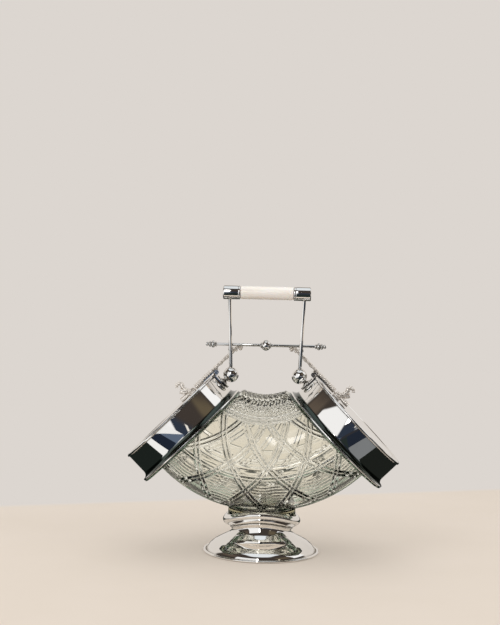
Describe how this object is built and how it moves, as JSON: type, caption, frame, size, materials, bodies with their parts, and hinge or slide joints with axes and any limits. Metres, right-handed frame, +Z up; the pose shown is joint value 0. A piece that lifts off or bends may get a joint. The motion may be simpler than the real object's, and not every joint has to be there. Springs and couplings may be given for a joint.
{
  "type": "biscuit barrel",
  "caption": "Crescent-shaped cut-glass biscuit barrel on a silver-plated pedestal, with a deep collar and hinged lid at each end and a bone-gripped carrying handle.",
  "frame": {"origin": "centre of the foot, on the surface that it stands on", "axes": "+Z up, +X from one mouth to the other, -Y the front"},
  "size_m": [0.2684, 0.129, 0.2638],
  "materials": {
    "cut_glass": "cut and polished lead glass",
    "silver_plate": "polished silver plate",
    "bone": "polished bone",
    "plaster": "set plaster",
    "brass_core": "drawn rod"
  },
  "bodies": {
    "barrel": {"glass_body": "cut_glass", "saddle_ring": "silver_plate", "pedestal_foot": "silver_plate", "foot_wire": "silver_plate", "cross_rod": "silver_plate", "cross_ball": "silver_plate", "peg_plaster": "plaster", "grip": "bone", "grip_core": "brass_core", "left_collar": "silver_plate", "left_hinge_base": "silver_plate", "left_hinge_pin": "silver_plate", "left_stem": "silver_plate", "left_ball": "silver_plate", "left_upright": "silver_plate", "left_ferrule": "silver_plate", "left_finial": "silver_plate", "left_bar_lug": "silver_plate", "left_collar_plaster": "plaster", "right_collar": "silver_plate", "right_hinge_base": "silver_plate", "right_hinge_pin": "silver_plate", "right_stem": "silver_plate", "right_ball": "silver_plate", "right_upright": "silver_plate", "right_ferrule": "silver_plate", "right_finial": "silver_plate", "right_bar_lug": "silver_plate", "right_collar_plaster": "plaster"},
    "left_lid_group": {"left_lid": "silver_plate", "left_lid_liner": "silver_plate", "left_hinge_leaf": "silver_plate", "left_lid_strap": "silver_plate", "left_lid_knob": "silver_plate", "left_lid_lever": "silver_plate"},
    "right_lid_group": {"right_lid": "silver_plate", "right_lid_liner": "silver_plate", "right_hinge_leaf": "silver_plate", "right_lid_strap": "silver_plate", "right_lid_knob": "silver_plate", "right_lid_lever": "silver_plate"}
  },
  "joints": [
    {"name": "left_lid_hinge", "type": "hinge", "parent": "barrel", "child": "left_lid_group", "pos_m": [-0.04734, 0, 0.17822], "axis": [0, 1, 0], "range_deg": [0, 70]},
    {"name": "right_lid_hinge", "type": "hinge", "parent": "barrel", "child": "right_lid_group", "pos_m": [0.04734, 0, 0.17822], "axis": [0, -1, 0], "range_deg": [0, 70]}
  ]
}
